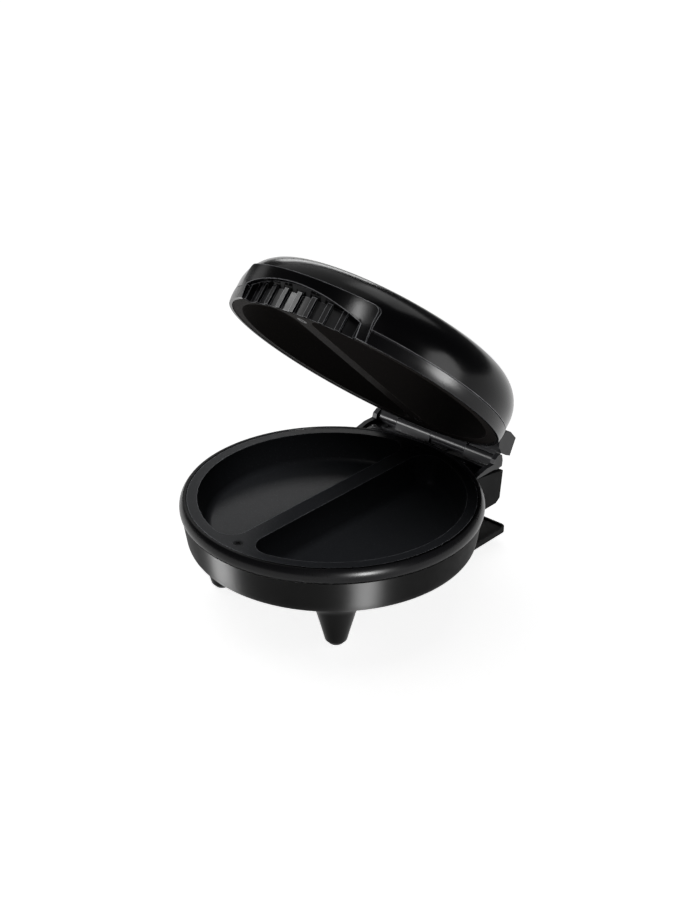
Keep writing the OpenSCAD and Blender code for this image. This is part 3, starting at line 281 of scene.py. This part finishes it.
def foot_outline(bottom, straight, waiting):
    """Half a foot in mm, as (radius, height): its bore, the round of its tip, its taper and its flare.

    The rings of the flare wait one above the other, from the height named waiting.
    """
    outline = [(FOOT_SCREW_R, FOOT_SEAT_Z), (FOOT_BORE_R, FOOT_SEAT_Z), (FOOT_BORE_R, bottom)]
    for step in range(FOOT_TIP_STEPS):
        turn = math.radians(FOOT_TIP_START + step * FOOT_TIP_STEP)
        radius = FOOT_TIP_R - FOOT_TIP_ROUND + FOOT_TIP_ROUND * math.cos(turn)
        outline.append((radius, straight + FOOT_TIP_ROUND * math.sin(turn)))
    for height in FOOT_TAPER_RINGS:
        outline.append((FOOT_TIP_R + height * FOOT_SLOPE, straight + height))
    for ring in range(len(FOOT_FLARE)):
        outline.append((FOOT_WAITING_R, waiting + ring))
    return outline


def under_housing(centre, out, straight, gap, spread):
    """A place of the flare in mm: a gap under the housing, and a spread out of the taper."""
    if spread is None:
        radius = FOOT_SCREW_R
    else:
        radius = FOOT_TIP_R + FOOT_FLARE_GUESS * FOOT_SLOPE + spread
    # The height follows from the radius and the radius from the height, so they settle in a few rounds
    for _ in range(4):
        place = centre + out * radius
        top = underside_height((place - Vector((0, BODY_AXIS_Y / MM))).length) - gap
        if spread is not None:
            radius = FOOT_TIP_R + (top - straight) * FOOT_SLOPE + spread
    return Vector((place.x, place.y, top))


def front_foot(node):
    """A tapered foot, bored for its screw, whose flare follows the housing's underside all round."""
    low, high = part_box(node)
    centre = Vector((low[0] + high[0], low[1] + high[1])) / 2 / MM
    bottom = low[2] / MM
    axis = Vector((centre.x, centre.y, 0))
    straight = bottom + FOOT_TIP_ROUND
    # Above every other height, so that no other ring is taken for one of the flare
    waiting = 2 * (UNDERSIDE - bottom)
    bm = bmesh.new()
    chain = [
        bm.verts.new((axis + Vector((radius, 0, height))) * MM)
        for radius, height in foot_outline(bottom, straight, waiting)
    ]
    edges = [bm.edges.new(pair) for pair in zip(chain, chain[1:] + chain[:1])]
    bmesh.ops.spin(
        bm, geom=chain + edges, cent=axis * MM, axis=(0, 0, 1), dvec=(0, 0, 0),
        angle=math.tau, steps=FOOT_SIDES, use_merge=True, use_duplicate=False,
    )
    for vert in bm.verts:
        ring = round(vert.co.z / MM - waiting)
        if ring >= 0:
            out = (vert.co / MM - axis).xy.normalized()
            vert.co = under_housing(centre, out, straight, *FOOT_FLARE[ring]) * MM
    bmesh.ops.recalc_face_normals(bm, faces=bm.faces)
    shade_smooth(bm, FOOT_SHARP)
    return finished(node + "_moulded", bm, FOOT_PBT, node, "base")


def paint_shade_black(piece, chosen):
    """Paints shade as a dead black, matt finish on those faces of a piece that a test picks."""
    piece.data.materials.append(SHADE_BLACK_ABS)
    for face in piece.data.polygons:
        if chosen(face):
            face.material_index = 1


def in_groove(face):
    """Whether a face of the trim ring lies at its foot, in the groove."""
    return face.center.z < RING_FOOT_Z


def turned_down(face):
    """Whether a face of the lid looks towards its mouth."""
    return face.normal.dot(LID_AXIS) < TURNED_DOWN


def under_visor(face):
    """Whether a face of the dome is part of the visor's underside."""
    return turned_down(face) and face.center.y < VISOR_BACK_Y


# Materials

def linear(code):
    """An sRGB hex colour as linear RGBA."""
    parts = [int(code[i:i + 2], 16) / 255 for i in (1, 3, 5)]
    return [p / 12.92 if p <= 0.04045 else ((p + 0.055) / 1.055) ** 2.4 for p in parts] + [1]


def shifted(colour, times, plus=0.0):
    """A linear colour made lighter or darker."""
    return [min(1, part * times + plus) for part in colour[:3]] + [1]


def per_metre(size_mm):
    """How many patches of a size in millimetres lie along a metre."""
    return 1 / (size_mm * MM)


def new_material(name):
    """A new material, with its node tree and its shader."""
    material = bpy.data.materials.new(name)
    material.use_nodes = True
    tree = material.node_tree
    return material, tree, tree.nodes["Principled BSDF"]


def add(tree, kind, settings=None, stops=(), **inputs):
    """Adds a node, sets its properties and a colour ramp's stops, and fills or links its inputs.

    An input goes by its name, or by an underscore and its number where names repeat.
    """
    node = tree.nodes.new("ShaderNode" + kind)
    for key, value in (settings or {}).items():
        setattr(node, key, value)
    for index, (position, colour) in enumerate(stops):
        node.color_ramp.elements[index].position = position
        node.color_ramp.elements[index].color = colour
    for key, value in inputs.items():
        socket = node.inputs[int(key[1:]) if key[1:].isdigit() else key.replace("_", " ")]
        if isinstance(value, bpy.types.NodeSocket):
            tree.links.new(value, socket)
        else:
            socket.default_value = value
    return node


def painted_edge_highlight(tree, tone, edge_highlight, edge_highlight_mm):
    """A piece's colour, and a painted highlight along its corners, where the rounded normal leaves the
    face's, in uneven patches.
    """
    rounded = add(tree, "Bevel", {"samples": 6}, Radius=edge_highlight_mm * MM).outputs["Normal"]
    facing = add(tree, "NewGeometry").outputs["Normal"]
    alike = add(tree, "VectorMath", {"operation": "DOT_PRODUCT"}, _0=rounded, _1=facing).outputs["Value"]
    corner = add(tree, "MapRange", Value=alike, From_Min=HIGHLIGHT_STARTS, From_Max=HIGHLIGHT_FULL).outputs["Result"]
    place = add(tree, "TexCoord").outputs["Object"]
    patches = add(tree, "TexNoise", Vector=place, Scale=per_metre(HIGHLIGHT_PATCH), Detail=3.0).outputs["Fac"]
    uneven = add(tree, "MapRange", Value=patches, From_Min=0.35, From_Max=0.7, To_Min=0.5).outputs["Result"]
    highlit = add(tree, "Math", {"operation": "MULTIPLY"}, _0=corner, _1=uneven).outputs["Value"]
    # The light colour is a painted highlight along the corners
    mixed = add(tree, "Mix", {"data_type": "RGBA"}, _0=highlit, _6=tone, _7=linear(edge_highlight))
    return mixed.outputs[2]


def moulded_plastic(name, colour, roughness, grain_mm, grain_depth, wave_depth=0.0, ior=1.36,
                    upright=0.0, edge_highlight=None, edge_highlight_mm=0.0):
    """Moulded plastic: one even colour, the tool's grain, smudges, and a slow wave of shrinkage.

    A real tool's grain is about 0.1 mm, and is drawn at grain_mm so that it shows. A mould polished
    up and down (upright) stretches highlights into standing bands. A painted highlight lies on the corners.
    """
    material, tree, shader = new_material(name)
    place = add(tree, "TexCoord").outputs["Object"]
    grain = add(tree, "TexNoise", Vector=place, Scale=per_metre(grain_mm), Detail=3.0,
                Roughness=0.6).outputs["Fac"]
    wave = add(tree, "TexNoise", Vector=place, Scale=per_metre(SHRINK_WAVE), Detail=1.0).outputs["Fac"]
    smudge = add(tree, "TexNoise", Vector=place, Scale=per_metre(HAND_SMUDGE), Detail=4.0,
                 Roughness=0.65).outputs["Fac"]
    tone = linear(colour)
    lighter = shifted(tone, times=1.35, plus=0.00015)
    mottled_and_highlit = add(tree, "ValToRGB", stops=[(0.35, tone), (0.75, lighter)], _0=grain).outputs["Color"]
    # A lighter colour painted along the corners stands for a highlight there
    if edge_highlight:
        mottled_and_highlit = painted_edge_highlight(tree, mottled_and_highlit, edge_highlight, edge_highlight_mm)
    tree.links.new(mottled_and_highlit, shader.inputs["Base Color"])
    rough = add(tree, "MapRange", Value=smudge, From_Min=0.3, From_Max=0.75,
                To_Min=roughness * 0.88, To_Max=roughness * 1.16).outputs["Result"]
    tree.links.new(rough, shader.inputs["Roughness"])
    slow = add(tree, "Bump", Height=wave, Strength=wave_depth, Distance=WAVE_HEIGHT).outputs["Normal"]
    fine = add(tree, "Bump", Height=grain, Strength=grain_depth, Distance=GRAIN_HEIGHT,
               Normal=slow).outputs["Normal"]
    tree.links.new(fine, shader.inputs["Normal"])
    shader.inputs["IOR"].default_value = ior
    if upright:
        along = add(tree, "CombineXYZ", Z=1.0).outputs["Vector"]
        tree.links.new(along, shader.inputs["Tangent"])
        shader.inputs["Anisotropic"].default_value = upright
    return material


def nonstick_coating(name, colour, fleck, roughness, ior, edge_highlight, edge_highlight_mm):
    """Sprayed PTFE on cast aluminium: near black, softly shiny, with fine flecks and orange peel."""
    material, tree, shader = new_material(name)
    place = add(tree, "TexCoord").outputs["Object"]
    flecks = add(tree, "TexNoise", Vector=place, Scale=per_metre(COATING_FLECK), Detail=2.0).outputs["Fac"]
    peel = add(tree, "TexNoise", Vector=place, Scale=per_metre(ORANGE_PEEL), Detail=2.0).outputs["Fac"]
    stops = [(0.62, linear(colour)), (0.74, linear(fleck))]
    flecked = add(tree, "ValToRGB", stops=stops, _0=flecks).outputs["Color"]
    # The lighter colour along the corners is a painted highlight
    tree.links.new(painted_edge_highlight(tree, flecked, edge_highlight, edge_highlight_mm), shader.inputs["Base Color"])
    rough = add(tree, "MapRange", Value=flecks, From_Min=0.4, From_Max=0.75,
                To_Min=roughness, To_Max=roughness * 0.75).outputs["Result"]
    tree.links.new(rough, shader.inputs["Roughness"])
    bump = add(tree, "Bump", Height=peel, Strength=0.12, Distance=GRAIN_HEIGHT).outputs["Normal"]
    tree.links.new(bump, shader.inputs["Normal"])
    shader.inputs["IOR"].default_value = ior
    return material


def bare_metal(name, colour, roughness, brush_mm):
    """Bare metal with a drawn or rolled grain.

    The real grain is under 0.1 mm, and is drawn at brush_mm so that it shows.
    """
    material, tree, shader = new_material(name)
    place = add(tree, "TexCoord").outputs["Object"]
    stretched = add(tree, "Mapping", Vector=place, Scale=(1, BRUSH_STRETCH, 1)).outputs["Vector"]
    grain = add(tree, "TexNoise", Vector=stretched, Scale=per_metre(brush_mm), Detail=3.0).outputs["Fac"]
    tone = linear(colour)
    stops = [(0.3, shifted(tone, times=0.72)), (0.7, tone)]
    streaked = add(tree, "ValToRGB", stops=stops, _0=grain).outputs["Color"]
    tree.links.new(streaked, shader.inputs["Base Color"])
    rough = add(tree, "MapRange", Value=grain, From_Min=0.3, From_Max=0.7,
                To_Min=roughness * 0.8, To_Max=roughness * 1.2).outputs["Result"]
    tree.links.new(rough, shader.inputs["Roughness"])
    bump = add(tree, "Bump", Height=grain, Strength=0.15, Distance=BRUSH_HEIGHT).outputs["Normal"]
    tree.links.new(bump, shader.inputs["Normal"])
    shader.inputs["Metallic"].default_value = 1.0
    return material


def soft_rubber(name, colour):
    """Moulded rubber: dead black with a powdery sheen."""
    material, tree, shader = new_material(name)
    place = add(tree, "TexCoord").outputs["Object"]
    powder = add(tree, "TexNoise", Vector=place, Scale=per_metre(RUBBER_POWDER), Detail=3.0).outputs["Fac"]
    tone = linear(colour)
    stops = [(0.4, tone), (0.8, shifted(tone, times=1.8, plus=0.002))]
    dusty = add(tree, "ValToRGB", stops=stops, _0=powder).outputs["Color"]
    tree.links.new(dusty, shader.inputs["Base Color"])
    bump = add(tree, "Bump", Height=powder, Strength=0.25, Distance=GRAIN_HEIGHT).outputs["Normal"]
    tree.links.new(bump, shader.inputs["Normal"])
    shader.inputs["Roughness"].default_value = 0.72
    shader.inputs["IOR"].default_value = 1.52
    return material


def seamless_paper(name):
    """White studio paper with a faint fibre, which glows so that it stays nearly white all over."""
    material, tree, shader = new_material(name)
    place = add(tree, "TexCoord").outputs["Object"]
    fibre = add(tree, "TexNoise", Vector=place, Scale=per_metre(PAPER_FIBRE), Detail=3.0).outputs["Fac"]
    stops = [(0.3, linear("#f4f4f4")), (0.7, linear("#f8f8f8"))]
    white = add(tree, "ValToRGB", stops=stops, _0=fibre).outputs["Color"]
    tree.links.new(white, shader.inputs["Base Color"])
    shader.inputs["Roughness"].default_value = 0.9
    shader.inputs["Emission Color"].default_value = linear("#ffffff")
    shader.inputs["Emission Strength"].default_value = PAPER_GLOW
    return material


# Finishes

# Seamless paper of the floor: white and without gloss
FLOOR_PAPER = seamless_paper("seamless_paper")
# Polished ABS of the dome: deep black and glossy, with a thin painted grey highlight along its corners
GLOSSY_ABS = moulded_plastic(
    "glossy_black_abs", "#030304", roughness=0.20, grain_mm=0.5, grain_depth=0.02,
    wave_depth=0.03, ior=1.26, edge_highlight="#96979a", edge_highlight_mm=1.1,
)
# Satin ABS of the trim ring and the lip ring: near black, with soft broad highlights and a painted
# highlight along the corners
SATIN_ABS = moulded_plastic(
    "satin_black_abs", "#060607", roughness=0.27, grain_mm=0.45, grain_depth=0.06,
    wave_depth=0.03, ior=1.29, edge_highlight="#4c4d50", edge_highlight_mm=0.6,
)
# Satin PBT of the housing and the stand, its mould polished up and down: standing bands of light
HOUSING_PBT = moulded_plastic(
    "satin_black_pbt", "#010101", roughness=0.45, grain_mm=0.5, grain_depth=0.04,
    ior=1.2, upright=1.0,
)
# The same PBT on the feet, without the upright polish: one soft light down each side
FOOT_PBT = moulded_plastic(
    "satin_black_pbt_feet", "#010101", roughness=0.30, grain_mm=0.5, grain_depth=0.04, ior=1.14,
)
# Grained PBT of the hinge: charcoal, duller than the shells, with a painted highlight along its corners
HINGE_PBT = moulded_plastic(
    "matt_charcoal_pbt", "#1b1b1d", roughness=0.38, grain_mm=0.4, grain_depth=0.12,
    wave_depth=0.02, ior=1.4, edge_highlight="#58595c", edge_highlight_mm=0.6,
)
# Satin ABS of the finger grip: black ribs with a painted highlight along their crests
GRIP_ABS = moulded_plastic(
    "ribbed_grip_abs", "#08080a", roughness=0.36, grain_mm=0.4, grain_depth=0.04,
    ior=1.26, edge_highlight="#98999c", edge_highlight_mm=0.8,
)
# Matt ABS, dead black, painted as shade under the visor and the grip's roof, and at the ring's foot
SHADE_BLACK_ABS = moulded_plastic(
    "shade_black_abs", "#030303", roughness=0.85, grain_mm=0.6, grain_depth=0.3, ior=1.1,
)
# Sprayed coating of the lower plate: near black, with a cool satin sheen and a painted highlight along its
# corners
LOWER_COATING = nonstick_coating(
    "lower_nonstick_coating", "#18191b", "#2a2c2f", roughness=0.40, ior=1.16,
    edge_highlight="#77797c", edge_highlight_mm=0.9,
)
# The same coating on the upper plate, dulled by steam, with a warm brown tone that is a painted reflection
# of the food below, and a painted highlight along its corners
UPPER_COATING = nonstick_coating(
    "upper_nonstick_coating", "#211f1e", "#2e2b29", roughness=0.6, ior=1.06,
    edge_highlight="#5d5b59", edge_highlight_mm=0.5,
)
# Blackened steel of the screws: dark, with a dull shine on the heads
BLACKENED_STEEL = bare_metal("blackened_steel", "#2a2b2d", roughness=0.38, brush_mm=0.3)
# Ground steel of the hinge pin: bright, with fine scratches round it
GROUND_STEEL = bare_metal("ground_steel", "#b6b8bb", roughness=0.25, brush_mm=0.2)
# Steel sheath of the elements: brown grey from heat
OXIDE_STEEL = bare_metal("oxidised_steel_tube", "#55534f", roughness=0.45, brush_mm=0.4)
# Rolled aluminium of the reflectors: pale and bright, with a rolled grain
BRIGHT_SHEET = bare_metal("bright_aluminium_sheet", "#c3c5c8", roughness=0.28, brush_mm=0.5)
# Rubber of the pads and the gland: dead black and powdery
BLACK_RUBBER = soft_rubber("black_rubber", "#0b0b0c")
# Phenolic body of the thermostat: dark brown, half matt
PHENOLIC = moulded_plastic(
    "brown_phenolic", "#221b17", roughness=0.5, grain_mm=0.5, grain_depth=0.15,
)
# Steatite of the terminal block and the fuse: cream, matt and slightly rough
CREAM_CERAMIC = moulded_plastic(
    "cream_steatite", "#cfc8b6", roughness=0.6, grain_mm=0.6, grain_depth=0.2,
)
# Silicone sleeves of the leads: off-white and soft
SILICONE = moulded_plastic(
    "white_silicone_sleeve", "#d9d5ca", roughness=0.5, grain_mm=0.5, grain_depth=0.1,
)

NODE_FINISH = {
    HOUSING_PBT: ["lower_housing", "rear_stand"],
    FOOT_PBT: ["front_left_foot", "front_right_foot"],
    SATIN_ABS: ["trim_ring", "lid_lip_ring"],
    GLOSSY_ABS: ["lid_shell"],
    GRIP_ABS: ["finger_grip"],
    HINGE_PBT: ["hinge_bracket", "lid_hinge_block"],
    LOWER_COATING: ["lower_cooking_plate"],
    UPPER_COATING: ["upper_cooking_plate"],
    BLACKENED_STEEL: [
        "lower_plate_screws", "lower_reflector_screws", "hinge_bracket_screws",
        "front_foot_screws", "rear_stand_screws", "upper_plate_screws",
        "upper_reflector_screws", "lid_hinge_screws",
    ],
    GROUND_STEEL: ["hinge_pin"],
    OXIDE_STEEL: ["lower_heating_element", "upper_heating_element"],
    BRIGHT_SHEET: ["lower_reflector", "upper_reflector"],
    BLACK_RUBBER: [
        "cord_gland", "front_left_pad", "front_right_pad", "rear_left_pad", "rear_right_pad",
    ],
    PHENOLIC: ["thermostat"],
    CREAM_CERAMIC: ["terminal_block", "thermal_fuse"],
    SILICONE: ["lower_wiring", "upper_wiring"],
}
for finish, names in NODE_FINISH.items():
    for name in names:
        NODES[name].data.materials.clear()
        NODES[name].data.materials.append(finish)

# The dressed pieces, of the base and then of the lid

housing = with_soft_edges("lower_housing", HOUSING_PBT, "base", edge_mm=0.5)
ring = with_soft_edges("trim_ring", SATIN_ABS, "base", edge_mm=0.4)
# The ring's foot in the groove is painted dead black, as shade
paint_shade_black(ring, in_groove)
left_foot = front_foot("front_left_foot")
right_foot = front_foot("front_right_foot")
plate = with_soft_edges("lower_cooking_plate", LOWER_COATING, "base", edge_mm=0.9)
bracket = with_soft_edges("hinge_bracket", HINGE_PBT, "base", edge_mm=0.5)
stand = with_soft_edges("rear_stand", HOUSING_PBT, "base", edge_mm=0.4)
dome = with_soft_edges("lid_shell", GLOSSY_ABS, "lid", edge_mm=0.6)
lip = with_soft_edges("lid_lip_ring", SATIN_ABS, "lid", edge_mm=0.5)
grip = with_soft_edges("finger_grip", GRIP_ABS, "lid", edge_mm=0.3)
# Faces of the grip and the visor that turn down are painted dead black, as shade
paint_shade_black(grip, turned_down)
paint_shade_black(dome, under_visor)
with_soft_edges("upper_cooking_plate", UPPER_COATING, "lid", edge_mm=0.9)
block = with_soft_edges("lid_hinge_block", HINGE_PBT, "lid", edge_mm=0.8)

# The studio

add_camera()
add_floor()
bpy.context.scene.view_settings.view_transform = "Standard"
add_diffuse_sky_panel(azimuth=-117, elevation=55, strength=0.6, spread=70)
# Each softbox: degrees right of the front, degrees up, metres away, size in metres, watts, pieces lit
add_softbox("front_softbox", 21, 47, 1.8, (0.2, 0.4), 8, [dome])
add_softbox("right_softbox", 96, 12, 1.6, (0.7, 0.7), 9, [dome])
add_softbox("rear_softbox", 185, 50, 1.8, (1.0, 1.0), 5, [dome, block, bracket, stand])
add_softbox("crest_softbox", -138, 14, 1.8, (0.8, 0.3), 3, [dome])
add_softbox("left_softbox", -90, 15, 1.7, (0.3, 0.4), 0.4, [dome])
add_softbox("grip_softbox", -10, 66, 1.7, (0.4, 0.4), 4, [grip])
add_softbox("grip_low_softbox", -60, 40, 1.7, (0.3, 0.3), 14, [grip])
add_softbox("lip_softbox", 96, 9, 1.6, (0.5, 0.5), 30, [lip])
add_softbox("ring_strip", 65, 9, 1.9, (0.3, 0.6), 56, [ring])
add_softbox("barrel_softbox", -48, 10, 1.6, (0.2, 0.6), 38, [bracket, block])
add_softbox("left_strip", -41, 12, 1.6, (0.5, 0.6), 240, [housing])
add_softbox("right_strip", 65, 12, 1.9, (0.5, 0.7), 385, [housing])
add_softbox("left_foot_strip", -75, 10, 1.6, (0.2, 0.6), 260, [left_foot, right_foot])
add_softbox("right_foot_strip", 105, 9, 1.9, (0.3, 0.6), 600, [left_foot, right_foot])
add_softbox("stand_softbox", 105, 9, 1.9, (0.3, 0.6), 220, [stand])
add_softbox("plate_softbox", -138, 30, 1.7, (0.4, 0.4), 2, [plate])
add_softbox("plate_top_softbox", -20, 66, 1.6, (0.8, 0.8), 28, [plate])
add_dim_room()
